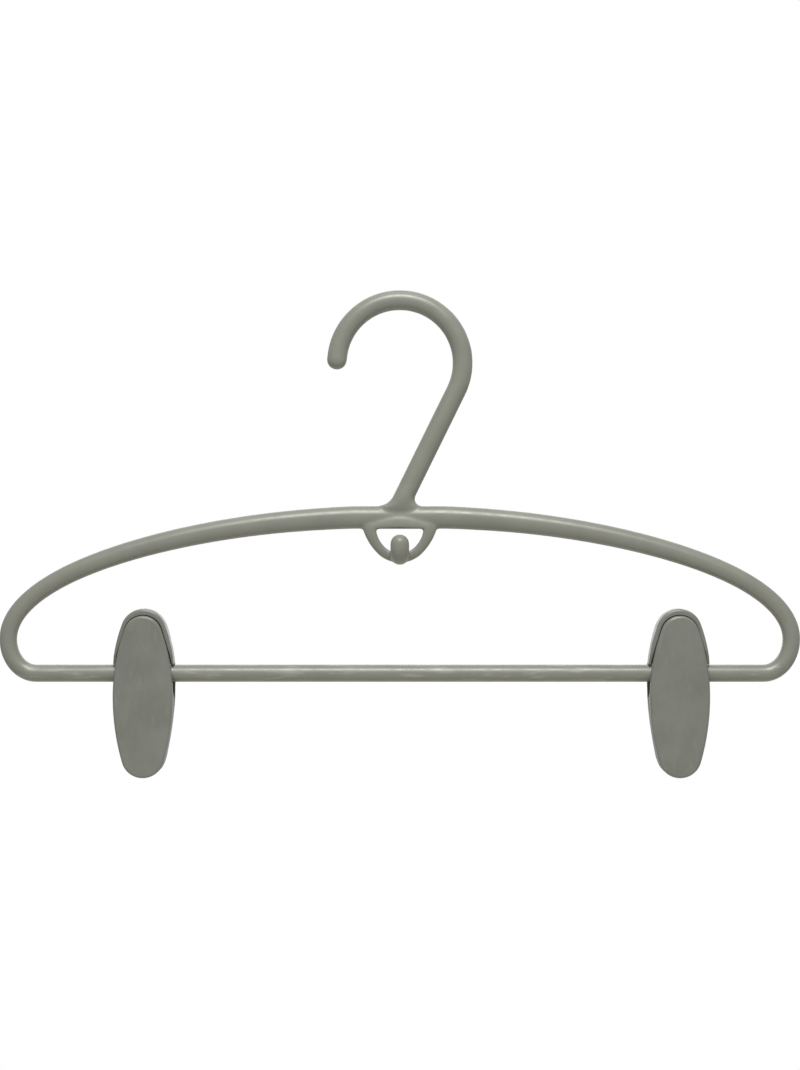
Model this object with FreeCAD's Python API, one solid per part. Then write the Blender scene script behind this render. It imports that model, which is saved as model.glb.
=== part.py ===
import FreeCAD, Part
import math
import os

from FreeCAD import Vector

# Skirt hanger: one moulded frame and two spring clips that slide on its lower bar.
# The origin is the rail seat, the highest point of the inside of the hook's bend.
# X runs along the bar, Y from front to back and Z upwards.

# Cuts run this far past the faces that they open.
overrun = 2.0

# Hanging hook: a round rod bent over the rail, with a straight shank that leans back to the middle.
hook_rod_diameter = 9.8
hook_inner_radius = 26.5
hook_tip_angle = 172.4
hook_tip_length = 2.5
hook_steps = 12
shank_lean_angle = 26.2

# Frame: an arch with a straight crown and elliptical sides, whose ends turn down into a straight round bar.
frame_width = 400.0
crown_length = 46.0
crown_depth = 103.7
bar_depth = 181.6
arch_crown_diameter = 11.2
bar_diameter = 8.5
arch_end_rise = 17.9
corner_reach = 14.0
neck_fillet_left = 9.5
neck_fillet_right = 3.6
arch_steps = 9
arch_crowding_share = 0.33
corner_steps = 4

# Half-moon loop under the neck.
loop_drop = 22.5
loop_bottom_radius = 15.5
loop_side_radius = 32.0
loop_turn_angle = 45.0
loop_band = 5.0
loop_depth = 10.0
loop_edge_chamfer = 0.8

# Accessory peg: a stubby rod that leaves the loop forwards and turns up.
peg_diameter = 9.1
peg_gap = 4.6
peg_bend_radius = 5.0
peg_bend_steps = 3
peg_lip = 5.8
peg_overhang = 1.0

# Clips: how far in from the frame's ends they stand, and what both halves share.
left_clip_inset = 72.3
right_clip_inset = 60.8
clip_depth = 16.0
clip_face_wall = 2.0
clip_skirt_wall = 1.4
clip_jaw_length = 51.7
clip_jaw_end_radius = 10.7
clip_parting_offset = 0.65
clip_parting_gap = 0.5
clip_opening_angle = 20.0
lever_spare_angle = 2.0

# Front half.
front_width = 29.8
front_lever_height = 29.0
front_lever_radius = 9.5
front_widest_drop = 11.3
front_edge_chamfer = 0.9

# Back half: a dish whose rim comes forward round the front lever.
back_width = 31.0
back_rim_height = 32.3
back_rim_radius = 11.3
back_widest_drop = 2.0
back_edge_depth = 6.0
back_edge_inset = 1.0
back_end_inset = 1.6
rim_setback = 0.6
rim_edge_chamfer = 0.8
rim_foot_height = 5.4
rim_shoulder_height = 7.5
lever_clearance = 1.15
lever_mouth_clearance = 0.4

# Side windows that let the bar through both skirts.
bar_window_clearance = 0.6
bar_window_drop = 12.0

# Snap-on hinge lugs: open eyes that click on to the bar, two on each half, side by side.
hinge_clearance = 0.1
lug_wall = 1.45
lug_width = 2.4
lug_spacing = 0.5
lug_mouth_angle = 116.0
lug_rib_height = 1.8
lug_rib_rise = 20.0
lug_rib_fall = 24.0

# Leaf spring: a steel strip that hugs the bar between the lugs.
spring_thickness = 0.5
spring_width = 8.0
spring_bar_clearance = 0.1
spring_wrap_rise_angle = 35.0
spring_bend_radius = 4.0
spring_arm_height = 20.0
spring_seat_gap = 0.3
spring_lug_gap = 0.5

# Soft grip pads in the jaw tips.
pad_thickness = 2.0
pad_height = 12.5
pad_side_clearance = 0.2
pad_face_gap = 0.2
pad_groove_width = 1.2
pad_groove_depth = 0.6
pad_groove_pitch = 3.4

# Worked-out places.
hook_rod_radius = hook_rod_diameter / 2
hook_middle_radius = hook_inner_radius + hook_rod_radius
hook_centre = Vector(0, 0, -hook_inner_radius)
bar_radius = bar_diameter / 2
crown_radius = arch_crown_diameter / 2
arch_half_width = (frame_width - bar_diameter) / 2
arch_top_angle = math.degrees(math.acos(crown_length / 2 / arch_half_width))
arch_rise = (bar_depth - crown_depth - arch_end_rise) / math.sin(math.radians(arch_top_angle))
corner_start = arch_half_width - corner_reach
left_clip_position = left_clip_inset - frame_width / 2
right_clip_position = frame_width / 2 - right_clip_inset
face_depth = clip_depth / 2
wall_depth = face_depth - clip_face_wall
rim_depth = wall_depth - rim_setback
lug_radius = bar_radius + hinge_clearance + lug_wall
back_lug_start = spring_width / 2 + spring_lug_gap
front_lug_start = back_lug_start + lug_width + lug_spacing
front_parting = clip_parting_offset - clip_parting_gap / 2
back_parting = clip_parting_offset + clip_parting_gap / 2


def turned(x, z, angle):
    """A point at the given distance and angle, in degrees, in the plane of the frame."""
    return Vector(x * math.cos(math.radians(angle)), 0, z * math.sin(math.radians(angle)))


def arc_between(centre, radius, start_angle, end_angle):
    """A circular edge in the XZ plane, from one angle to another."""
    places = [centre + turned(radius, radius, start_angle + (end_angle - start_angle) * share)
              for share in (0, 0.5, 1)]
    return Part.Arc(*places).toShape()


def stations_on(centre, reach, rise, angles):
    """Places and slopes along an ellipse, for a path that runs clockwise through the given angles."""
    stations = []
    for angle in angles:
        along = turned(reach, rise, angle - 90)
        stations.append((centre + turned(reach, rise, angle), math.degrees(math.atan2(along.z, along.x))))
    return stations


def tube(stations, radii):
    """A round rod through stations in the XZ plane, with one radius for each."""
    rings = []
    for (place, slope), radius in zip(stations, radii):
        ring = Part.Wire(Part.makeCircle(radius, Vector(), Vector(1, 0, 0)))
        ring.rotate(Vector(), Vector(0, 1, 0), -slope)
        ring.translate(place)
        rings.append(ring)
    return Part.makeLoft(rings, True, True)


def arch_side():
    """The right side of the arch, tapering from the crown to the bar, and its turned-down end."""
    middle_height = arch_end_rise - bar_depth
    shares = [step / arch_steps for step in range(1, arch_steps + 1)]
    side_angles = [arch_top_angle * (1 - share) * (1 - arch_crowding_share * share) for share in shares]
    corner_angles = [-90 * step / corner_steps for step in range(1, corner_steps + 1)]
    stations = [(Vector(crown_length / 2, 0, -crown_depth), 0)]
    stations += stations_on(Vector(0, 0, middle_height), arch_half_width, arch_rise, side_angles)
    stations += stations_on(Vector(corner_start, 0, middle_height), corner_reach, arch_end_rise, corner_angles)
    radii = []
    for place, slope in stations[:arch_steps + 1]:
        taper_share = (place.x - crown_length / 2) / (arch_half_width - crown_length / 2)
        radii.append(crown_radius + (bar_radius - crown_radius) * taper_share)
    return tube(stations, radii + [bar_radius] * corner_steps)


def neck():
    """The crown of the arch blended into the hook's straight shank.

    Half of it is blended and mirrored, because the round widens towards the open side of the lean.
    """
    start = hook_centre + turned(hook_middle_radius, hook_middle_radius, -shank_lean_angle)
    lean = math.radians(shank_lean_angle)
    length = (start.z + crown_depth) / math.cos(lean)
    shank = Part.makeCylinder(hook_rod_radius, length, start, Vector(-math.sin(lean), 0, -math.cos(lean)))
    crown_start = Vector(-crown_length / 2, 0, -crown_depth)
    joined = Part.makeCylinder(crown_radius, crown_length, crown_start, Vector(1, 0, 0)).fuse(shank)
    half_space = Part.makeBox(2 * frame_width, frame_width, 2 * bar_depth, Vector(-frame_width, 0, -bar_depth))
    half = joined.common(half_space).Solids[0]
    neck_edges = []
    for edge in half.Edges:
        box = edge.BoundBox
        across = box.YLength > hook_rod_radius / 2 and box.XLength > hook_rod_radius
        if across and -crown_depth < box.ZMin and box.ZMax < arch_crown_diameter - crown_depth:
            neck_edges.append(edge)
    blended = half.makeFillet(neck_fillet_left, neck_fillet_right, neck_edges)
    return blended.fuse(blended.mirror(Vector(), Vector(0, 1, 0))).removeSplitter()


def hook_bend():
    """The bend over the rail, with a short straight end and a round tip."""
    sweep_angle = hook_tip_angle + shank_lean_angle
    angles = [hook_tip_angle - sweep_angle * step / hook_steps for step in range(hook_steps + 1)]
    stations = stations_on(hook_centre, hook_middle_radius, hook_middle_radius, angles)
    tip = stations[0][0] - turned(1, 1, hook_tip_angle - 90) * hook_tip_length
    stations.insert(0, (tip, stations[0][1]))
    bend = tube(stations, [hook_rod_radius] * len(stations))
    return bend.fuse(Part.makeSphere(hook_rod_radius, tip))


def loop_outline(inset):
    """Half-moon outline of the loop, drawn in from its outer edge, closed inside the arch."""
    bottom_radius = loop_bottom_radius - inset
    side_radius = loop_side_radius - inset
    bottom_centre = Vector(0, 0, loop_bottom_radius - loop_drop - crown_depth)
    shift = turned(1, 1, loop_turn_angle + 90) * (loop_side_radius - loop_bottom_radius)
    right_centre = bottom_centre + shift
    left_centre = bottom_centre + Vector(-shift.x, 0, shift.z)
    top_angle = math.degrees(math.asin((-crown_depth - right_centre.z) / side_radius))
    turn = loop_turn_angle
    edges = [arc_between(right_centre, side_radius, top_angle, turn - 90),
             arc_between(bottom_centre, bottom_radius, turn - 90, -90 - turn),
             arc_between(left_centre, side_radius, -90 - turn, -180 - top_angle)]
    edges.append(Part.makeLine(edges[2].Vertexes[-1].Point, edges[0].Vertexes[0].Point))
    return Part.Face(Part.Wire(edges))


def neck_loop():
    """The flat half-moon loop with softened edges."""
    band = loop_outline(0).cut(loop_outline(loop_band))
    band.translate(Vector(0, -loop_depth / 2, 0))
    loop = band.extrude(Vector(0, loop_depth, 0))
    soft_edges = [edge for edge in loop.Edges
                  if edge.BoundBox.YLength < loop_edge_chamfer and edge.BoundBox.ZMin < -crown_depth - loop_band]
    return loop.makeChamfer(loop_edge_chamfer, soft_edges)


def accessory_peg():
    """The round peg: out of the loop's front, then up to a domed end."""
    radius = peg_diameter / 2
    reach = loop_depth / 2 + peg_gap + radius
    root_height = -crown_depth - loop_drop - peg_overhang + radius
    bend_centre = Vector(peg_bend_radius - reach, 0, root_height + peg_bend_radius)
    bend_angles = [270 - 90 * step / peg_bend_steps for step in range(peg_bend_steps + 1)]
    dome_centre = Vector(-reach, 0, root_height + peg_lip)
    stations = [(Vector(0, 0, root_height), 180)]
    stations += stations_on(bend_centre, peg_bend_radius, peg_bend_radius, bend_angles)
    stations.append((dome_centre, 90))
    peg = tube(stations, [radius] * len(stations)).fuse(Part.makeSphere(radius, dome_centre))
    peg.rotate(Vector(), Vector(0, 0, 1), 90)
    return peg


def hanger_frame():
    """The one-piece moulding."""
    bar = Part.makeCylinder(bar_radius, 2 * corner_start, Vector(-corner_start, 0, -bar_depth), Vector(1, 0, 0))
    right_side = arch_side()
    left_side = right_side.mirror(Vector(), Vector(1, 0, 0))
    loop_with_peg = neck_loop().fuse(accessory_peg())
    return neck().multiFuse([left_side, right_side, bar, hook_bend(), loop_with_peg])


def oval_face(half_width, top, top_radius, widest, bottom, bottom_radius):
    """An upright oval of tangent arcs in the XZ plane, about the bar's axis."""
    edges = []
    for height, end_radius, end_height, way in ((top - widest, top_radius, top, 1),
                                                (widest - bottom, bottom_radius, bottom, -1)):
        side_radius = half_width ** 2 + (height - end_radius) ** 2 - end_radius ** 2
        side_radius = side_radius / (2 * (half_width - end_radius))
        end_centre = Vector(0, 0, end_height - way * end_radius)
        side_reach = side_radius - half_width
        turn = math.degrees(math.atan2(height - end_radius, side_reach))
        right_centre = Vector(-side_reach, 0, widest)
        left_centre = Vector(side_reach, 0, widest)
        edges.append(arc_between(right_centre, side_radius, 0, way * turn))
        edges.append(arc_between(end_centre, end_radius, way * turn, way * (180 - turn)))
        edges.append(arc_between(left_centre, side_radius, way * (180 - turn), way * 180))
    return Part.Face(Part.Wire(Part.__sortEdges__(edges)))


def front_oval(inset):
    """Outline of the front half, drawn in by a wall."""
    return oval_face(front_width / 2 - inset, front_lever_height - inset, front_lever_radius - inset,
                     -front_widest_drop, inset - clip_jaw_length, clip_jaw_end_radius - inset)


def back_oval(inset):
    """Outline of the back half, drawn in by a wall."""
    return oval_face(back_width / 2 - inset, back_rim_height - inset, back_rim_radius - inset,
                     -back_widest_drop, inset - clip_jaw_length, clip_jaw_end_radius - inset)


def slab(face, near, far):
    """A face of the XZ plane made into a solid between two depths."""
    moved = face.copy()
    moved.translate(Vector(0, near, 0))
    return moved.extrude(Vector(0, far - near, 0))


def bevelled_cap(outline, smaller, shoulder, end):
    """The sloping edge of a slab, from its full outline at one depth to a smaller one at its end."""
    rims = [outline.OuterWire, smaller.OuterWire]
    for rim, depth in zip(rims, (shoulder, end)):
        rim.translate(Vector(0, depth, 0))
    return Part.makeLoft(rims, True, True)


def block(x, y, z):
    """A box between two limits on each axis."""
    return Part.makeBox(x[1] - x[0], y[1] - y[0], z[1] - z[0], Vector(x[0], y[0], z[0]))


def across_clip(outline):
    """An outline of depths and heights, seen along the bar, made into a solid wider than the clip."""
    corners = [Vector(-back_width, depth, height) for depth, height in outline]
    return Part.Face(Part.makePolygon(corners + corners[:1])).extrude(Vector(2 * back_width, 0, 0))


def bar_window():
    """The tall eight-cornered slot across the clip that the bar passes through."""
    radius = bar_radius + bar_window_clearance
    corner = radius * math.tan(math.pi / 8)
    low = -bar_window_drop
    return across_clip([(-radius, corner), (-corner, radius), (corner, radius), (radius, corner),
                        (radius, low + radius - corner), (corner, low),
                        (-corner, low), (-radius, low + radius - corner)])


def hinge_lugs(start, side):
    """Two open eyes with their ribs, on the wall at the given side, -1 for the front and 1 for the back."""
    bore_radius = bar_radius + hinge_clearance
    mouth_half = math.radians(lug_mouth_angle / 2)
    mouth_y = -side * math.cos(mouth_half) * 2 * lug_radius
    mouth_z = math.sin(mouth_half) * 2 * lug_radius
    lip = lug_radius * math.cos(mouth_half)
    depths = sorted((-side * lip, side * wall_depth))
    rib_depths = sorted((side * (wall_depth - lug_rib_height), side * wall_depth))
    lugs = []
    for hand in (-1, 1):
        low_x, high_x = sorted((hand * start, hand * (start + lug_width)))
        eye = block((low_x, high_x), depths, (-lug_radius, lug_radius))
        rib = block((low_x, high_x), rib_depths, (-lug_rib_fall, lug_rib_rise))
        corners = [Vector(low_x, 0, 0), Vector(low_x, mouth_y, -mouth_z), Vector(low_x, mouth_y, mouth_z)]
        mouth = Part.Face(Part.makePolygon(corners + corners[:1])).extrude(Vector(lug_width, 0, 0))
        bore = Part.makeCylinder(bore_radius, lug_width, Vector(low_x, 0, 0), Vector(1, 0, 0))
        lugs.append(eye.fuse(rib).cut(mouth.fuse(bore)))
    return lugs


def pad_tip(oval, top_inset):
    """The lowest stretch of an oval, where a grip pad lies."""
    reach = back_width / 2
    top = clip_skirt_wall + pad_height - clip_jaw_length + top_inset
    box = block((-reach, reach), (-overrun, overrun), (-clip_jaw_length, top))
    return oval.common(box).Faces[0]


def pad_seat_depth(side):
    """Depth of the face that a grip pad lies on."""
    return clip_parting_offset + side * (pad_face_gap / 2 + pad_thickness)


def pad_seat(oval, side):
    """The block in a jaw's tip that carries the grip pad."""
    return slab(pad_tip(oval, clip_skirt_wall), *sorted((pad_seat_depth(side), side * wall_depth)))


def front_jaw():
    """Front half: a flat plate with a skirt that is cut away behind the lever."""
    shoulder = front_edge_chamfer - face_depth
    shell = slab(front_oval(0), front_parting, shoulder)
    shell = shell.fuse(bevelled_cap(front_oval(0), front_oval(front_edge_chamfer), shoulder, -face_depth))
    hollow = slab(front_oval(clip_skirt_wall), -wall_depth, front_parting + overrun)
    slope = math.tan(math.radians(clip_opening_angle + lever_spare_angle))
    lever_top = front_lever_height + overrun
    relief = across_clip([(front_parting + overrun, 0), (front_parting, 0),
                          (-wall_depth, (wall_depth + front_parting) / slope),
                          (-wall_depth, lever_top), (front_parting + overrun, lever_top)])
    shell = shell.cut(hollow.multiFuse([relief, bar_window()]))
    seat_block = pad_seat(front_oval(clip_skirt_wall), -1)
    return shell.multiFuse(hinge_lugs(front_lug_start, -1) + [seat_block]).removeSplitter()


def back_jaw():
    """Back half: a deep dish whose rim comes forward round the lever and steps back above the bar.

    The hollow narrows towards its mouth, because the lever rises as it turns in.
    """
    rim_shoulder = rim_edge_chamfer - rim_depth
    back_shoulder = face_depth - back_edge_depth
    rim_cap = bevelled_cap(back_oval(0), back_oval(rim_edge_chamfer), rim_shoulder, -rim_depth)
    back_face = oval_face(back_width / 2 - back_edge_inset, back_rim_height - back_end_inset, back_rim_radius,
                          -back_widest_drop, back_end_inset - clip_jaw_length, clip_jaw_end_radius)
    back_cap = bevelled_cap(back_oval(0), back_face, back_shoulder, face_depth)
    shell = slab(back_oval(0), rim_shoulder, back_shoulder).multiFuse([rim_cap, back_cap])
    inside = back_oval(clip_skirt_wall).common(front_oval(-lever_clearance)).Faces[0]
    mouth = bevelled_cap(front_oval(-lever_clearance), front_oval(-lever_mouth_clearance), back_parting, -face_depth)
    hollow = slab(inside, back_parting, wall_depth).fuse(mouth)
    low = -clip_jaw_length - overrun
    relief = across_clip([(back_parting, low), (back_parting, rim_foot_height), (-rim_depth, rim_shoulder_height),
                          (-face_depth, rim_shoulder_height), (-face_depth, low)])
    shell = shell.cut(hollow.multiFuse([relief, bar_window()]))
    seat_block = pad_seat(back_oval(clip_skirt_wall), 1)
    return shell.multiFuse(hinge_lugs(back_lug_start, 1) + [seat_block]).removeSplitter()


def grip_pad(oval_at, side):
    """A soft pad with cross grooves on its face."""
    seat = pad_seat_depth(side)
    face = seat - side * pad_thickness
    pad = slab(pad_tip(oval_at(clip_skirt_wall + pad_side_clearance), 0), *sorted((seat, face)))
    groove_depths = sorted((face - side * overrun, face + side * pad_groove_depth))
    reach = back_width / 2
    bottom = clip_skirt_wall - clip_jaw_length
    grooves = []
    for step in range(1, int(pad_height / pad_groove_pitch) + 1):
        low = bottom + step * pad_groove_pitch - pad_groove_width
        grooves.append(block((-reach, reach), groove_depths, (low, low + pad_groove_width)))
    return pad.cut(grooves[0].multiFuse(grooves[1:]))


def side_place(centre, radius, angle, side):
    """A point seen along the bar, at an angle above the front or the back, -1 or 1."""
    angle = math.radians(angle)
    return Vector(0, side * (centre[0] + radius * math.cos(angle)), centre[1] + radius * math.sin(angle))


def side_arc(centre, radius, start_angle, end_angle, side):
    """An arc seen along the bar, between two angles."""
    places = [side_place(centre, radius, start_angle + (end_angle - start_angle) * share, side)
              for share in (0, 0.5, 1)]
    return Part.Arc(*places).toShape()


def leaf_spring():
    """A strip that hugs the bar from below and sends one arm up each lever."""
    half_thickness = spring_thickness / 2
    wrap_radius = bar_radius + spring_bar_clearance + half_thickness
    wrap_end = spring_wrap_rise_angle
    tip = (wall_depth - spring_seat_gap - half_thickness, spring_arm_height)
    bend_place = side_place((0, 0), wrap_radius + spring_bend_radius, wrap_end, 1)
    bend_centre = (bend_place.y, bend_place.z)
    rise = tip[1] - bend_centre[1]
    inward = bend_centre[0] - tip[0]
    lean = math.degrees(math.atan2(rise, inward) - math.acos(spring_bend_radius / math.hypot(rise, inward)))
    arm_start = 180 - lean
    edges = []
    for side in (-1, 1):
        bend_end = side_place(bend_centre, spring_bend_radius, arm_start, side)
        edges.append(Part.makeLine(side_place(tip, 0, 0, side), bend_end))
        edges.append(side_arc(bend_centre, spring_bend_radius, arm_start, 180 + wrap_end, side))
    edges.append(side_arc((0, 0), wrap_radius, wrap_end, -180 - wrap_end, -1))
    path = Part.Wire(Part.__sortEdges__(edges))
    across = [side_place(tip, half_thickness, end_angle - lean, -1) for end_angle in (0, 180)]
    corners = [place + Vector(hand * spring_width / 2, 0, 0)
               for place, hand in ((across[0], -1), (across[0], 1), (across[1], 1), (across[1], -1))]
    return path.makePipeShell([Part.makePolygon(corners + corners[:1])], True, False)


os.makedirs("parts", exist_ok=True)
hanger_frame().exportStep("parts/hanger_frame.step")
clip_pieces = {
    "front_jaw": front_jaw(),
    "back_jaw": back_jaw(),
    "spring": leaf_spring(),
    "front_pad": grip_pad(front_oval, -1),
    "back_pad": grip_pad(back_oval, 1),
}
for hand, position in (("left", left_clip_position), ("right", right_clip_position)):
    for name, shape in clip_pieces.items():
        placed = shape.copy()
        placed.translate(Vector(position, 0, -bar_depth))
        placed.exportStep("parts/" + hand + "_clip_" + name + ".step")
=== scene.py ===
import math

import bmesh
import bpy
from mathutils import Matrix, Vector


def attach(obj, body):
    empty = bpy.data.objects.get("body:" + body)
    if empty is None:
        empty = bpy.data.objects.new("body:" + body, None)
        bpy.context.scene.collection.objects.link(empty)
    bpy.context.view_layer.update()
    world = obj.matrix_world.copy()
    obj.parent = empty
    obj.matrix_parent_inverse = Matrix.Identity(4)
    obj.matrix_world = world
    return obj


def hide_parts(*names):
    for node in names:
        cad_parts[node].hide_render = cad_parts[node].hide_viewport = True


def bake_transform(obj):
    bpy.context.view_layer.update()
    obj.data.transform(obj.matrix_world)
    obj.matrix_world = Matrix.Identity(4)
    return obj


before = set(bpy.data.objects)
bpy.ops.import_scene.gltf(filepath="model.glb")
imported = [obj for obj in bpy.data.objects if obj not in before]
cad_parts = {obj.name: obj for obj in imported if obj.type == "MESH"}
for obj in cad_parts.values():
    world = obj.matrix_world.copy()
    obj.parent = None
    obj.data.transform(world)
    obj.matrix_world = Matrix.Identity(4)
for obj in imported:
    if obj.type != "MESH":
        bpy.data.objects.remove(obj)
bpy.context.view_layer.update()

# Sizes are in millimetres and become metres where a mesh is made. Angles are in degrees.
MM = 0.001

# Hook and shank.
hook_rod_radius = 4.9
hook_inner_radius = 26.5
hook_tip_angle = 172.4
hook_tip_length = 2.5
shank_lean = 26.2

# Arch, turned-down ends and bar.
frame_half_width = 195.75
crown_depth = 103.7
crown_radius = 5.6
crown_half_length = 23.0
crown_flatness = 0.8
bar_depth = 181.6
bar_radius = 4.25
arch_end_rise = 17.9
arch_droop = 0.75
arch_droop_start = 50.0
arch_droop_length = 110.0
corner_reach = 14.0
neck_round_left = 9.5
neck_round_right = 3.6
neck_flare_height = 12.0
neck_rod_end = 7.5
neck_foot_start = 10.2
neck_foot_length = 11.3
neck_foot_depth = 5.3
neck_foot_drop = 5.0
neck_top_fullness = 0.94
neck_fullness_gain = 0.5

# Half-moon loop and its peg.
loop_drop = 22.5
loop_bottom_radius = 15.5
loop_side_radius = 30.0
loop_turn = 45.0
loop_band = 5.0
loop_half_depth = 5.6
loop_side_thinning = 0.13
loop_outer_reach = 4.6
loop_outer_round = 2.3
loop_inner_round = 0.2
loop_crest_top = 1.4
loop_crest_rise = 3.4
loop_shoulder_radius = 4.0
loop_window_radius = 0.5
window_bottom_radius = 10.95
window_side_radius = 15.0
peg_radius = 4.55
peg_reach = 14.15
peg_bend_radius = 5.0
peg_lip = 5.8
peg_overhang = 1.0

# Clips.
clip_places = {"left": -127.7, "right": 139.2}
spring_thickness = 0.5
spring_width = 8.0
spring_wrap_radius = 4.6
spring_wrap_rise = 35.0
spring_bend_radius = 4.0
spring_arm_reach = 5.45
spring_arm_height = 20.0
spring_edge_share = 0.6
jaw_edge_round = 0.52
front_edge_depth = 6.9
back_edge_depth = 7.9
rim_edge_depth = 4.4
rim_depth = 5.4
rim_foot = 5.4
rim_shoulder = 7.5
rim_tuck = 0.42
rim_top_tuck = 0.2
rim_bar_gap = 0.3
rim_inner_spread = 0.18
rim_outer_spread = 0.08
rim_foot_depth = 3.9
rim_foot_rise = 4.0
rim_tuck_fade = 10.0
rim_tolerance = 0.1
lever_top = 29.0
rub_fade = 1.0

# Mesh fineness: counts of steps along each curve, and the values that join and soften the meshes.
rod_sides = 48
arch_steps = 110
corner_steps = 24
bar_steps = 20
hook_steps = 90
shank_steps = 12
dome_steps = 12
dome_tip_radius = 0.05
peg_bend_steps = 16
loop_brow_steps = 12
loop_shoulder_steps = 10
loop_side_steps = 24
loop_bottom_steps = 16
loop_section_steps = 8
neck_levels = 30
neck_sides = 40
spring_arm_steps = 8
spring_bend_steps = 10
spring_wrap_steps = 28
mould_voxel = 0.7
mould_softness = 0.5
mould_smoothing = 7
mould_regrowth = 0.12
jaw_weld_distance = 0.002
jaw_flat_angle = 0.8
jaw_crease_angle = 18
jaw_edge_segments = 4

# Studio, in metres.
view_distance = 0.95
view_height = 0.535
view_centre = (0.0001, -0.1125)
lamp_target = (0, 0, -0.13)
floor_half_size = 0.5
floor_level = -0.53


def turned(centre, reach, rise, angle):
    """A place on an ellipse at an angle in degrees, as a pair."""
    angle = math.radians(angle)
    return centre[0] + reach * math.cos(angle), centre[1] + rise * math.sin(angle)


def swing(centre, reach, rise, first, last, count):
    """Places along an ellipse from one angle to another."""
    angles = [first + (last - first) * step / count for step in range(count + 1)]
    return [turned(centre, reach, rise, angle) for angle in angles]


def link(name, mesh):
    """A new object for a mesh."""
    piece = bpy.data.objects.new(name, mesh)
    bpy.context.scene.collection.objects.link(piece)
    return piece


def finished_mesh(piece):
    """The piece's mesh with its modifiers in it; the piece itself goes."""
    bpy.context.view_layer.update()
    ready = piece.evaluated_get(bpy.context.evaluated_depsgraph_get())
    mesh = bpy.data.meshes.new_from_object(ready)
    bpy.data.objects.remove(piece)
    return mesh


def swept_rod_tree():
    """Geometry Nodes: a round rod along a curve, as thick as the curve's own radius says."""
    tree = bpy.data.node_groups.new("swept_rod", "GeometryNodeTree")
    tree.interface.new_socket("Path", in_out="INPUT", socket_type="NodeSocketGeometry")
    sides = tree.interface.new_socket("Sides", in_out="INPUT", socket_type="NodeSocketInt")
    finish = tree.interface.new_socket("Finish", in_out="INPUT", socket_type="NodeSocketMaterial")
    tree.interface.new_socket("Rod", in_out="OUTPUT", socket_type="NodeSocketGeometry")
    inputs = tree.nodes.new("NodeGroupInput")
    ring = tree.nodes.new("GeometryNodeCurvePrimitiveCircle")
    ring.inputs["Radius"].default_value = 1.0
    sweep = tree.nodes.new("GeometryNodeCurveToMesh")
    sweep.inputs["Fill Caps"].default_value = True
    whole = tree.nodes.new("GeometryNodeRealizeInstances")
    paint = tree.nodes.new("GeometryNodeSetMaterial")
    output = tree.nodes.new("NodeGroupOutput")
    tree.links.new(inputs.outputs["Sides"], ring.inputs["Resolution"])
    tree.links.new(inputs.outputs["Path"], sweep.inputs["Curve"])
    tree.links.new(ring.outputs["Curve"], sweep.inputs["Profile Curve"])
    thickness = tree.nodes.new("GeometryNodeInputRadius")
    tree.links.new(thickness.outputs["Radius"], sweep.inputs["Scale"])
    tree.links.new(sweep.outputs["Mesh"], whole.inputs["Geometry"])
    tree.links.new(whole.outputs["Geometry"], paint.inputs["Geometry"])
    tree.links.new(inputs.outputs["Finish"], paint.inputs["Material"])
    tree.links.new(paint.outputs["Geometry"], output.inputs["Rod"])
    return tree, sides.identifier, finish.identifier


def rod(name, path, closed, tree, sides_input, finish_input, finish):
    """Mesh of a round rod through places given as (x, y, z, radius) in millimetres."""
    curve = bpy.data.curves.new(name, "CURVE")
    curve.dimensions = "3D"
    line = curve.splines.new("POLY")
    line.points.add(len(path) - 1)
    for point, (x, y, z, radius) in zip(line.points, path):
        point.co = (x * MM, y * MM, z * MM, 1)
        point.radius = radius * MM
    line.use_cyclic_u = closed
    piece = link(name, curve)
    modifier = piece.modifiers.new("sweep", "NODES")
    modifier.node_group = tree
    modifier[sides_input] = rod_sides
    modifier[finish_input] = finish
    return finished_mesh(piece)


def arch_path():
    """The closed path of arch, turned-down ends and bar, with the taper from crown to bar."""
    middle = arch_end_rise - bar_depth
    top_angle = math.degrees(math.acos(crown_half_length / frame_half_width))
    rise = (bar_depth - crown_depth - arch_end_rise) / math.sin(math.radians(top_angle))
    corner = frame_half_width - corner_reach
    right = swing((0, middle), frame_half_width, rise, top_angle, 0, arch_steps)
    right += swing((corner, middle), corner_reach, arch_end_rise, 0, -90, corner_steps)[1:]
    half = []
    for x, z in right:
        taper = 1
        if z > middle:
            taper = max(x - crown_half_length, 0) / (frame_half_width - crown_half_length)
        share = min(max((x - arch_droop_start) / arch_droop_length, 0), 1)
        droop = arch_droop * share ** 2 * (3 - 2 * share) * min((z + bar_depth) / arch_end_rise, 1)
        half.append((x, 0, z - droop, crown_radius + (bar_radius - crown_radius) * min(taper, 1)))
    bar = [(corner * (1 - step / bar_steps), 0, -bar_depth, bar_radius) for step in range(1, bar_steps)]
    right_path = [(0, 0, -crown_depth, crown_radius)] + half + bar
    left_path = [(-x, y, z, radius) for x, y, z, radius in reversed(right_path[1:])]
    return right_path + [(0, 0, -bar_depth, bar_radius)] + left_path


def flattened_arch(mesh):
    """The arch is less deep than tall at its crown and grows round towards its ends and the bar."""
    for vert in mesh.vertices:
        x, y, z = vert.co / MM
        taper = min(max(abs(x) - crown_half_length, 0) / (frame_half_width - crown_half_length), 1)
        if z > arch_end_rise / 2 - bar_depth:
            vert.co.y *= crown_flatness + (1 - crown_flatness) * taper
    return mesh


def dome(base, way, radius):
    """Places and radii that close a rod's end with a half ball."""
    places = []
    for step in range(dome_steps):
        angle = math.radians(90 * (1 - step / dome_steps))
        reach = radius * math.sin(angle)
        place = tuple(base[axis] + way[axis] * reach for axis in range(3))
        places.append(place + (max(radius * math.cos(angle), dome_tip_radius),))
    return places


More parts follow.
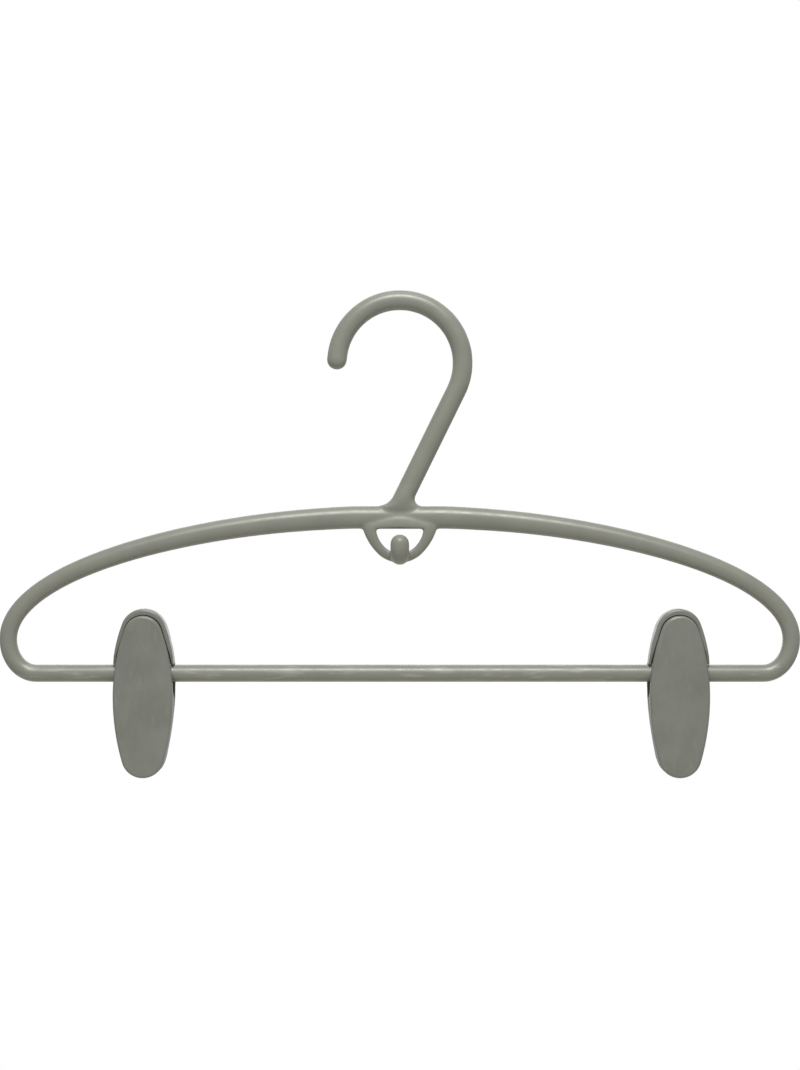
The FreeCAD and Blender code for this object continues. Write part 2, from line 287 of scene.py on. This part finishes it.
def shank_foot():
    """Where the shank, straight on from the hook's bend, meets the middle line of the crown."""
    middle_radius = hook_inner_radius + hook_rod_radius
    top_x, top_z = turned((0, -hook_inner_radius), middle_radius, middle_radius, -shank_lean)
    return top_x - (top_z + crown_depth) * math.tan(math.radians(shank_lean))


def hook_path():
    """The hook from its round tip over the bend and down the shank into the crown."""
    middle_radius = hook_inner_radius + hook_rod_radius
    centre = (0, -hook_inner_radius)
    bend = swing(centre, middle_radius, middle_radius, hook_tip_angle, -shank_lean, hook_steps)
    along = math.radians(hook_tip_angle - 90)
    down = (-math.cos(along), 0, -math.sin(along))
    tip = (bend[0][0] + down[0] * hook_tip_length, 0, bend[0][1] + down[2] * hook_tip_length)
    path = dome(tip, down, hook_rod_radius) + [tip + (hook_rod_radius,)]
    path += [(x, 0, z, hook_rod_radius) for x, z in bend]
    top_x, top_z = bend[-1]
    foot_x = shank_foot()
    whole = top_z + crown_depth
    kept = (whole - crown_radius - neck_rod_end) / whole
    for step in range(1, shank_steps + 1):
        share = kept * step / shank_steps
        path.append((top_x + (foot_x - top_x) * share, 0, top_z - whole * share, hook_rod_radius))
    return path


def peg_path():
    """The peg: forwards out of the loop, then up to its domed end."""
    root = peg_radius - crown_depth - loop_drop - peg_overhang
    centre = (peg_bend_radius - peg_reach, root + peg_bend_radius)
    bend = swing(centre, peg_bend_radius, peg_bend_radius, 270, 180, peg_bend_steps)
    path = [(0, 0, root, peg_radius)] + [(0, y, z, peg_radius) for y, z in bend]
    top = (0, -peg_reach, root + peg_lip)
    return path + list(reversed(dome(top, (0, 0, 1), peg_radius) + [top + (peg_radius,)]))


def loop_ring(inset):
    """The half-moon outline drawn in from its outer edge, with rounded shoulders that lie on the arch."""
    share = inset / loop_band
    bottom_z = loop_bottom_radius - loop_drop - crown_depth
    side_radius = loop_side_radius + (window_side_radius - loop_side_radius) * share
    bottom_radius = loop_bottom_radius + (window_bottom_radius - loop_bottom_radius) * share
    spread = side_radius - bottom_radius
    side_x = spread * math.sin(math.radians(loop_turn))
    side_z = bottom_z + spread * math.cos(math.radians(loop_turn))
    shoulder_radius = loop_shoulder_radius + (loop_window_radius - loop_shoulder_radius) * share
    crest = loop_crest_rise * (1 - share)
    slope = math.degrees(math.atan2(2 * crest, loop_bottom_radius))
    top = loop_crest_top * (1 - share) - crown_radius * share - crown_depth
    side_top = top - crest - shoulder_radius * math.cos(math.radians(slope))
    first = math.degrees(math.asin((side_top - side_z) / side_radius))
    low = loop_turn - 90
    side = swing((-side_x, side_z), side_radius, side_radius, first, low, loop_side_steps)
    shoulder = (side[0][0] - shoulder_radius, side_top)
    corner = swing(shoulder, shoulder_radius, shoulder_radius, 90 - slope, 0, loop_shoulder_steps)
    brow = []
    for step in range(loop_brow_steps):
        along = step / loop_brow_steps
        brow.append((corner[0][0] * along, corner[0][1] + crest * (1 - along ** 2)))
    bottom = swing((0, bottom_z), bottom_radius, bottom_radius, low, -90, loop_bottom_steps)
    right = brow + corner[:-1] + side[:-1] + bottom
    return right + [(-x, z) for x, z in reversed(right[1:-1])]


def neck_loop():
    """The half-moon band, with a rounded section, as rings of points from its outer edge to its window."""
    window = loop_band - loop_inner_round
    section = []
    for inset, reach, rise, way, first in ((loop_outer_reach, loop_outer_reach, loop_outer_round, 1, 180),
                                           (window, loop_inner_round, loop_inner_round, 1, 90),
                                           (window, loop_inner_round, loop_inner_round, -1, 0),
                                           (loop_outer_reach, loop_outer_reach, loop_outer_round, -1, -90)):
        centre = (inset, way * (loop_half_depth - rise))
        section += swing(centre, reach, rise, first, first - 90, loop_section_steps)
    shape = bmesh.new()
    rings = []
    for inset, depth in section:
        ring = []
        for x, z in loop_ring(inset):
            thinned = depth * (1 - loop_side_thinning * (x / loop_bottom_radius) ** 2)
            ring.append(shape.verts.new((x * MM, thinned * MM, z * MM)))
        rings.append(ring)
    wrap_faces(shape, rings + rings[:1])
    return closed_mesh("neck_loop", shape)


def wrap_faces(shape, rings):
    """Four-sided faces between each ring of corners and the next."""
    for first, second in zip(rings, rings[1:]):
        for side in range(len(first)):
            after = (side + 1) % len(first)
            shape.faces.new((first[side], first[after], second[after], second[side]))


def closed_mesh(name, shape):
    """A mesh of a closed shape, with its faces outwards."""
    bmesh.ops.recalc_face_normals(shape, faces=shape.faces)
    mesh = bpy.data.meshes.new(name)
    shape.to_mesh(mesh)
    shape.free()
    return mesh


def neck_edge(height, way, round_radius):
    """How far the neck reaches to one side at a height: along the shank, then round into the crown."""
    lean = math.radians(shank_lean)
    centre_z = crown_radius - crown_depth + round_radius
    centre_x = shank_foot() + (centre_z + crown_depth) * math.tan(lean)
    centre_x += way * (hook_rod_radius + round_radius) / math.cos(lean)
    if height < centre_z + way * round_radius * math.sin(lean):
        drop = min(abs(height - centre_z), round_radius)
        return centre_x - way * math.sqrt(round_radius ** 2 - drop ** 2)
    return shank_foot() + (height + crown_depth) * math.tan(lean) + way * hook_rod_radius / math.cos(lean)


def neck_flare():
    """The widening foot of the shank: level ovals between the two rounds where shank and crown meet."""
    crown_top = crown_radius - crown_depth
    highest = crown_top + neck_flare_height
    lowest = crown_top - neck_foot_drop
    shape = bmesh.new()
    rings = []
    for step in range(neck_levels + 1):
        height = highest + (lowest - highest) * step / neck_levels
        left = neck_edge(max(height, crown_top), -1, neck_round_left)
        right = neck_edge(max(height, crown_top), 1, neck_round_right)
        fullness = min(neck_top_fullness + neck_fullness_gain * step / neck_levels, 1)
        reach = (right - left) / 2 * fullness
        fall = max(neck_foot_start - height - crown_depth, 0) / neck_foot_length
        swell = min((highest - height) / (highest + crown_depth - neck_foot_start), 1)
        full_depth = hook_rod_radius * fullness + (neck_foot_depth - hook_rod_radius) * swell
        depth = full_depth * math.sqrt(1 - fall ** 2)
        ring = []
        for side in range(neck_sides):
            angle = 2 * math.pi * side / neck_sides
            place = ((left + right) / 2 + reach * math.cos(angle), depth * math.sin(angle), height)
            ring.append(shape.verts.new([value * MM for value in place]))
        rings.append(ring)
    wrap_faces(shape, rings)
    shape.faces.new(rings[0])
    shape.faces.new(list(reversed(rings[-1])))
    return closed_mesh("neck_flare", shape)


def moulded_frame(finish):
    """The one-piece moulding: rods, neck, loop and peg grown together with soft inner corners."""
    tree, sides_input, finish_input = swept_rod_tree()
    arch_and_bar = rod("arch_and_bar", arch_path(), True, tree, sides_input, finish_input, finish)
    meshes = [flattened_arch(arch_and_bar),
              rod("hook", hook_path(), False, tree, sides_input, finish_input, finish),
              rod("peg", peg_path(), False, tree, sides_input, finish_input, finish)]
    meshes += [neck_loop(), neck_flare()]
    together = bmesh.new()
    for mesh in meshes:
        together.from_mesh(mesh)
    whole = bpy.data.meshes.new("hanger_frame_moulding")
    together.to_mesh(whole)
    together.free()
    piece = link("raw_frame", whole)
    grown = piece.modifiers.new("grow_together", "REMESH")
    grown.mode = "VOXEL"
    grown.voxel_size = mould_voxel * MM
    soft = piece.modifiers.new("soft_corners", "SMOOTH")
    soft.factor = mould_softness
    soft.iterations = mould_smoothing
    regrown = piece.modifiers.new("grow_back", "DISPLACE")
    regrown.direction = "NORMAL"
    regrown.mid_level = 0
    regrown.strength = mould_regrowth * MM
    mesh = finished_mesh(piece)
    mesh.polygons.foreach_set("use_smooth", [True] * len(mesh.polygons))
    mesh.materials.clear()
    mesh.materials.append(finish)
    moulding = link("hanger_frame_moulding", mesh)
    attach(moulding, "frame")
    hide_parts("hanger_frame")


def leaf_path(side):
    """Half of the spring's path seen along the bar, from the arm's end to the wrap's lowest place."""
    out = spring_wrap_radius + spring_bend_radius
    centre = turned((0, 0), out, out, spring_wrap_rise)
    rise = spring_arm_height - centre[1]
    inward = centre[0] - spring_arm_reach
    touch = math.acos(spring_bend_radius / math.hypot(rise, inward))
    first = 180 - math.degrees(math.atan2(rise, inward) - touch)
    last = 180 + spring_wrap_rise
    bend = swing(centre, spring_bend_radius, spring_bend_radius, first, last, spring_bend_steps)
    wrap = swing((0, 0), spring_wrap_radius, spring_wrap_radius, spring_wrap_rise, -90, spring_wrap_steps)[1:]
    arm = []
    for step in range(spring_arm_steps):
        along = step / spring_arm_steps
        arm.append((spring_arm_reach + (bend[0][0] - spring_arm_reach) * along,
                    spring_arm_height + (bend[0][1] - spring_arm_height) * along))
    return [(side * y, z) for y, z in arm + bend + wrap]


def leaf_spring(hand, finish):
    """The steel strip round the bar, with rolled edges, bending between the two halves of its clip."""
    path = leaf_path(1) + list(reversed(leaf_path(-1)))[1:]
    half_width = spring_width / 2
    half_thickness = spring_thickness / 2
    edge = half_thickness * spring_edge_share
    section = [(-half_width + edge, half_thickness), (half_width - edge, half_thickness),
               (half_width, half_thickness - edge), (half_width, edge - half_thickness),
               (half_width - edge, -half_thickness), (edge - half_width, -half_thickness),
               (-half_width, edge - half_thickness), (-half_width, half_thickness - edge)]
    shape = bmesh.new()
    rings = []
    for step, (y, z) in enumerate(path):
        before = path[max(step - 1, 0)]
        after = path[min(step + 1, len(path) - 1)]
        along = Vector((after[0] - before[0], after[1] - before[1])).normalized()
        ring = []
        for x, across in section:
            place = (clip_places[hand] + x, y - along.y * across, z + along.x * across - bar_depth)
            ring.append(shape.verts.new([value * MM for value in place]))
        rings.append(ring)
    wrap_faces(shape, rings)
    shape.faces.new(rings[0])
    shape.faces.new(list(reversed(rings[-1])))
    mesh = closed_mesh(hand + "_leaf_spring", shape)
    mesh.materials.append(finish)
    piece = link(hand + "_leaf_spring", mesh)
    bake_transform(piece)
    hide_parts(hand + "_clip_spring")


def linear(red, green, blue):
    """A colour as a picture shows it, 0 to 255, in Blender's linear values, by the sRGB curve."""
    values = []
    for value in (red, green, blue):
        value /= 255
        values.append(value / 12.92 if value <= 0.04045 else ((value + 0.055) / 1.055) ** 2.4)
    return (*values, 1)


def moulded_grain_group():
    """Shader group: clouded tint, fine skin, uneven gloss and long scuffs of a satin moulding."""
    group = bpy.data.node_groups.new("moulded_grain", "ShaderNodeTree")
    for name, value in (("Cloud Size", 60.0), ("Skin Size", 2200.0)):
        socket = group.interface.new_socket(name, in_out="INPUT", socket_type="NodeSocketFloat")
        socket.default_value = value
    group.interface.new_socket("Scuff Stretch", in_out="INPUT", socket_type="NodeSocketVector")
    for name in ("Tint", "Gloss", "Skin", "Scuff"):
        group.interface.new_socket(name, in_out="OUTPUT", socket_type="NodeSocketFloat")
    nodes, links = group.nodes, group.links
    inputs = nodes.new("NodeGroupInput")
    output = nodes.new("NodeGroupOutput")
    place = nodes.new("ShaderNodeTexCoord")
    clouds = nodes.new("ShaderNodeTexNoise")
    clouds.inputs["Detail"].default_value = 4
    clouds.inputs["Roughness"].default_value = 0.55
    skin = nodes.new("ShaderNodeTexNoise")
    skin.inputs["Detail"].default_value = 2
    rub = nodes.new("ShaderNodeTexNoise")
    rub.inputs["Scale"].default_value = 210
    rub.inputs["Detail"].default_value = 3
    links.new(inputs.outputs["Cloud Size"], clouds.inputs["Scale"])
    links.new(inputs.outputs["Skin Size"], skin.inputs["Scale"])
    for texture in (clouds, skin, rub):
        links.new(place.outputs["Object"], texture.inputs["Vector"])
    spread = nodes.new("ShaderNodeMapRange")
    spread.inputs["From Min"].default_value = 0.3
    spread.inputs["From Max"].default_value = 0.7
    links.new(clouds.outputs["Fac"], spread.inputs["Value"])
    links.new(spread.outputs["Result"], output.inputs["Tint"])
    links.new(rub.outputs["Fac"], output.inputs["Gloss"])
    links.new(skin.outputs["Fac"], output.inputs["Skin"])
    stretch = nodes.new("ShaderNodeMapping")
    links.new(inputs.outputs["Scuff Stretch"], stretch.inputs["Scale"])
    streaks = nodes.new("ShaderNodeTexNoise")
    streaks.inputs["Scale"].default_value = 420
    streaks.inputs["Detail"].default_value = 5
    worn = nodes.new("ShaderNodeMapRange")
    worn.inputs["From Min"].default_value = 0.54
    worn.inputs["From Max"].default_value = 0.72
    links.new(place.outputs["Object"], stretch.inputs["Vector"])
    links.new(stretch.outputs["Vector"], streaks.inputs["Vector"])
    links.new(streaks.outputs["Fac"], worn.inputs["Value"])
    links.new(worn.outputs["Result"], output.inputs["Scuff"])
    return group


def moulded_plastic(name, grain, light, dark, scuffed, scuff_stretch, rubbed_below, gloss, skin_depth):
    """Satin plastic with a clouded tint, uneven gloss, a fine moulded skin, and scuffs below a height."""
    finish = bpy.data.materials.new(name)
    finish.use_nodes = True
    nodes, links = finish.node_tree.nodes, finish.node_tree.links
    shader = nodes["Principled BSDF"]
    shader.inputs["IOR"].default_value = 1.5
    marks = nodes.new("ShaderNodeGroup")
    marks.node_tree = grain
    marks.inputs["Scuff Stretch"].default_value = scuff_stretch
    tint = nodes.new("ShaderNodeMix")
    tint.data_type = "RGBA"
    tint.inputs["A"].default_value = dark
    tint.inputs["B"].default_value = light
    links.new(marks.outputs["Tint"], tint.inputs["Factor"])
    place = nodes.new("ShaderNodeTexCoord")
    axes = nodes.new("ShaderNodeSeparateXYZ")
    rubbed = nodes.new("ShaderNodeMapRange")
    rubbed.inputs["From Min"].default_value = (rubbed_below + rub_fade) * MM
    rubbed.inputs["From Max"].default_value = rubbed_below * MM
    worn = nodes.new("ShaderNodeMath")
    worn.operation = "MULTIPLY"
    wear = nodes.new("ShaderNodeMix")
    wear.data_type = "RGBA"
    wear.inputs["B"].default_value = scuffed
    links.new(place.outputs["Object"], axes.inputs["Vector"])
    links.new(axes.outputs["Z"], rubbed.inputs["Value"])
    links.new(rubbed.outputs["Result"], worn.inputs[0])
    links.new(marks.outputs["Scuff"], worn.inputs[1])
    links.new(worn.outputs["Value"], wear.inputs["Factor"])
    links.new(tint.outputs["Result"], wear.inputs["A"])
    links.new(wear.outputs["Result"], shader.inputs["Base Color"])
    satin = nodes.new("ShaderNodeMapRange")
    satin.inputs["From Min"].default_value = 0.3
    satin.inputs["From Max"].default_value = 0.7
    satin.inputs["To Min"].default_value = gloss[0]
    satin.inputs["To Max"].default_value = gloss[1]
    links.new(marks.outputs["Gloss"], satin.inputs["Value"])
    links.new(satin.outputs["Result"], shader.inputs["Roughness"])
    skin = nodes.new("ShaderNodeBump")
    skin.inputs["Strength"].default_value = 0.25
    skin.inputs["Distance"].default_value = skin_depth * MM
    links.new(marks.outputs["Skin"], skin.inputs["Height"])
    links.new(skin.outputs["Normal"], shader.inputs["Normal"])
    return finish


def spring_steel(name):
    """Bare strip steel, with fine lines of lighter and darker grey drawn along its length."""
    finish = bpy.data.materials.new(name)
    finish.use_nodes = True
    nodes, links = finish.node_tree.nodes, finish.node_tree.links
    shader = nodes["Principled BSDF"]
    shader.inputs["Metallic"].default_value = 1.0
    place = nodes.new("ShaderNodeTexCoord")
    stretch = nodes.new("ShaderNodeMapping")
    stretch.inputs["Scale"].default_value = (1.0, 0.06, 0.06)
    links.new(place.outputs["Object"], stretch.inputs["Vector"])
    lines = nodes.new("ShaderNodeTexNoise")
    lines.inputs["Scale"].default_value = 4000
    links.new(stretch.outputs["Vector"], lines.inputs["Vector"])
    tint = nodes.new("ShaderNodeMix")
    tint.data_type = "RGBA"
    tint.inputs["A"].default_value = linear(150, 152, 156)
    tint.inputs["B"].default_value = linear(196, 197, 198)
    links.new(lines.outputs["Fac"], tint.inputs["Factor"])
    links.new(tint.outputs["Result"], shader.inputs["Base Color"])
    gloss = nodes.new("ShaderNodeMapRange")
    gloss.inputs["To Min"].default_value = 0.22
    gloss.inputs["To Max"].default_value = 0.42
    links.new(lines.outputs["Fac"], gloss.inputs["Value"])
    links.new(gloss.outputs["Result"], shader.inputs["Roughness"])
    return finish


def tuck_rim(shape, hand):
    """Draw the rim's mouth in towards the lever, and its feet down and back to the bar."""
    cut = Vector((0, 0, (rim_shoulder + rim_foot_rise - bar_depth) * MM))
    whole = shape.verts[:] + shape.edges[:] + shape.faces[:]
    bmesh.ops.bisect_plane(shape, geom=whole, plane_co=cut, plane_no=(0, 0, 1))
    shape.normal_update()
    tucked = set()
    for face in shape.faces:
        side = face.calc_center_median() / MM - Vector((clip_places[hand], 0, -bar_depth))
        if -rim_depth < side.y < 0 and side.z > 0 and face.normal.x * side.x + face.normal.z * side.z < 0:
            tucked.update(vert for vert in face.verts if vert.co.y < (rim_tolerance - rim_depth) * MM)
    for vert in tucked:
        side = vert.co / MM - Vector((clip_places[hand], 0, -bar_depth))
        share = min(max((lever_top - side.z) / rim_tuck_fade, 0), 1)
        low = min(max((side.z - rim_shoulder) / rim_tuck_fade, 0), 1)
        vert.co.x -= math.copysign(rim_tuck * share * low * MM, side.x)
        vert.co.z -= rim_top_tuck * (1 - share) * MM
    for vert in shape.verts:
        side = vert.co / MM - Vector((clip_places[hand], 0, -bar_depth))
        if side.y < 0 and rim_foot - rim_tolerance < side.z < rim_shoulder + rim_tolerance:
            drop = side.z - bar_radius - rim_bar_gap
            spread = rim_inner_spread if vert in tucked else rim_outer_spread
            vert.co.x += math.copysign(drop * spread * MM, side.x)
            vert.co.y *= rim_foot_depth / rim_depth
            vert.co.z -= drop * MM
    return tucked


def softened_jaw(hand, jaw_name, body, rounds, finish):
    """A jaw's own solid with its outer edges rounded, where the rule says that an edge lies outside."""
    node = hand + jaw_name
    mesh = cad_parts[node].data.copy()
    shape = bmesh.new()
    shape.from_mesh(mesh)
    bmesh.ops.remove_doubles(shape, verts=shape.verts, dist=jaw_weld_distance * MM)
    flat = math.radians(jaw_flat_angle)
    bmesh.ops.dissolve_limit(shape, angle_limit=flat, verts=shape.verts, edges=shape.edges)
    crisp = tuck_rim(shape, hand) if node.endswith("_back_jaw") else set()
    weights = shape.edges.layers.float.new("bevel_weight_edge")
    for edge in shape.edges:
        turn = math.degrees(edge.calc_face_angle(0))
        outside = all(rounds(vert.co / MM) for vert in edge.verts)
        if turn > jaw_crease_angle and outside and not crisp.issuperset(edge.verts):
            edge[weights] = 1
    for face in shape.faces:
        face.smooth = True
    shape.to_mesh(mesh)
    shape.free()
    mesh.set_sharp_from_angle(angle=math.radians(jaw_crease_angle))
    piece = link("raw_" + node, mesh)
    bevel = piece.modifiers.new("rounded_edges", "BEVEL")
    bevel.limit_method = "WEIGHT"
    bevel.width = jaw_edge_round * MM
    bevel.segments = jaw_edge_segments
    bevel.harden_normals = True
    bevel.use_clamp_overlap = False
    done = finished_mesh(piece)
    done.materials.clear()
    done.materials.append(finish)
    jaw = link(node + "_moulding", done)
    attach(jaw, body)
    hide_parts(node)


def on_front_plate(place):
    """Whether a place lies at the front half's outer face."""
    return place.y < -front_edge_depth


def on_back_shell(place):
    """Whether a place lies at the back half's outer face or on its rim."""
    return place.y > back_edge_depth or place.y < -rim_edge_depth


def dress_pads(finish):
    """The grip pads keep their CAD shape and get their rubber."""
    for node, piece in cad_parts.items():
        if node.endswith("_pad"):
            piece.data.materials.clear()
            piece.data.materials.append(finish)


def studio():
    """A surround that is seen white but shines and mirrors less, soft lamps, and a pale floor far below."""
    world = bpy.data.worlds.new("white_surround")
    bpy.context.scene.world = world
    world.use_nodes = True
    nodes, links = world.node_tree.nodes, world.node_tree.links
    seen = nodes["Background"]
    seen.inputs["Color"].default_value = (1, 1, 1, 1)
    seen.inputs["Strength"].default_value = 1.0
    glow = nodes.new("ShaderNodeBackground")
    glow.inputs["Color"].default_value = (1, 1, 1, 1)
    glow.inputs["Strength"].default_value = 0.4
    mirrored = nodes.new("ShaderNodeBackground")
    mirrored.inputs["Color"].default_value = (1, 1, 1, 1)
    mirrored.inputs["Strength"].default_value = 0.65
    ray = nodes.new("ShaderNodeLightPath")
    unseen = nodes.new("ShaderNodeMixShader")
    surround = nodes.new("ShaderNodeMixShader")
    links.new(ray.outputs["Is Glossy Ray"], unseen.inputs["Fac"])
    links.new(glow.outputs["Background"], unseen.inputs[1])
    links.new(mirrored.outputs["Background"], unseen.inputs[2])
    links.new(ray.outputs["Is Camera Ray"], surround.inputs["Fac"])
    links.new(unseen.outputs["Shader"], surround.inputs[1])
    links.new(seen.outputs["Background"], surround.inputs[2])
    links.new(surround.outputs["Shader"], nodes["World Output"].inputs["Surface"])
    for name, place, width, length, power in (("key_softbox", (0.02, -0.85, 0.96), 0.7, 0.4, 18.6),
                                              ("overhead_softbox", (0.0, -0.1, 1.2), 0.9, 0.9, 2.5),
                                              ("back_softbox", (0.0, 1.2, 0.38), 1.4, 1.4, 6.0)):
        lamp = bpy.data.lights.new(name, "AREA")
        lamp.shape = "RECTANGLE"
        lamp.size = width
        lamp.size_y = length
        lamp.energy = power
        holder = bpy.data.objects.new(name, lamp)
        bpy.context.scene.collection.objects.link(holder)
        holder.location = place
        aim = Vector(lamp_target) - Vector(place)
        holder.rotation_euler = aim.to_track_quat("-Z", "Y").to_euler()
    shape = bmesh.new()
    bmesh.ops.create_grid(shape, x_segments=1, y_segments=1, size=floor_half_size)
    bmesh.ops.translate(shape, verts=shape.verts, vec=(0, 0, floor_level))
    mesh = bpy.data.meshes.new("floor")
    shape.to_mesh(mesh)
    shape.free()
    floor = link("floor", mesh)
    paint = bpy.data.materials.new("pale_floor")
    paint.use_nodes = True
    paint.node_tree.nodes["Principled BSDF"].inputs["Base Color"].default_value = (0.84, 0.81, 0.76, 1)
    paint.node_tree.nodes["Principled BSDF"].inputs["Roughness"].default_value = 0.8
    mesh.materials.append(paint)


def photo_camera():
    """A camera straight in front of the hanger, framed for a picture of 800 by 1070."""
    lens = bpy.data.cameras.new("photo_camera")
    lens.sensor_fit = "VERTICAL"
    lens.angle = 2 * math.atan(view_height / 2 / view_distance)
    holder = bpy.data.objects.new("photo_camera", lens)
    bpy.context.scene.collection.objects.link(holder)
    holder.location = (view_centre[0], -view_distance, view_centre[1])
    holder.rotation_euler = (math.radians(90), 0, 0)
    bpy.context.scene.camera = holder


bpy.context.scene.view_settings.view_transform = "Standard"
moulded_grain = moulded_grain_group()
frame_plastic = moulded_plastic("frame_plastic", moulded_grain,
                                light=linear(129, 130, 119), dark=linear(122, 123, 112),
                                scuffed=linear(150, 151, 139), scuff_stretch=(0.15, 1, 1),
                                rubbed_below=bar_radius - bar_depth, gloss=(0.3, 0.41), skin_depth=0.03)
clip_plastic = moulded_plastic("clip_plastic", moulded_grain,
                               light=linear(121, 123, 114), dark=linear(110, 112, 103),
                               scuffed=linear(120, 122, 114), scuff_stretch=(1, 1, 0.3),
                               rubbed_below=0, gloss=(0.3, 0.4), skin_depth=0.05)
pad_rubber = moulded_plastic("pad_rubber", moulded_grain,
                             light=linear(66, 66, 62), dark=linear(54, 54, 50),
                             scuffed=linear(74, 74, 70), scuff_stretch=(1, 1, 1),
                             rubbed_below=0, gloss=(0.7, 0.85), skin_depth=0.08)
strip_steel = spring_steel("strip_steel")
photo_camera()
studio()
moulded_frame(frame_plastic)
for clip_hand in clip_places:
    leaf_spring(clip_hand, strip_steel)
    softened_jaw(clip_hand, "_clip_front_jaw", clip_hand + "_front_half", on_front_plate, clip_plastic)
    softened_jaw(clip_hand, "_clip_back_jaw", clip_hand + "_back_half", on_back_shell, clip_plastic)
dress_pads(pad_rubber)
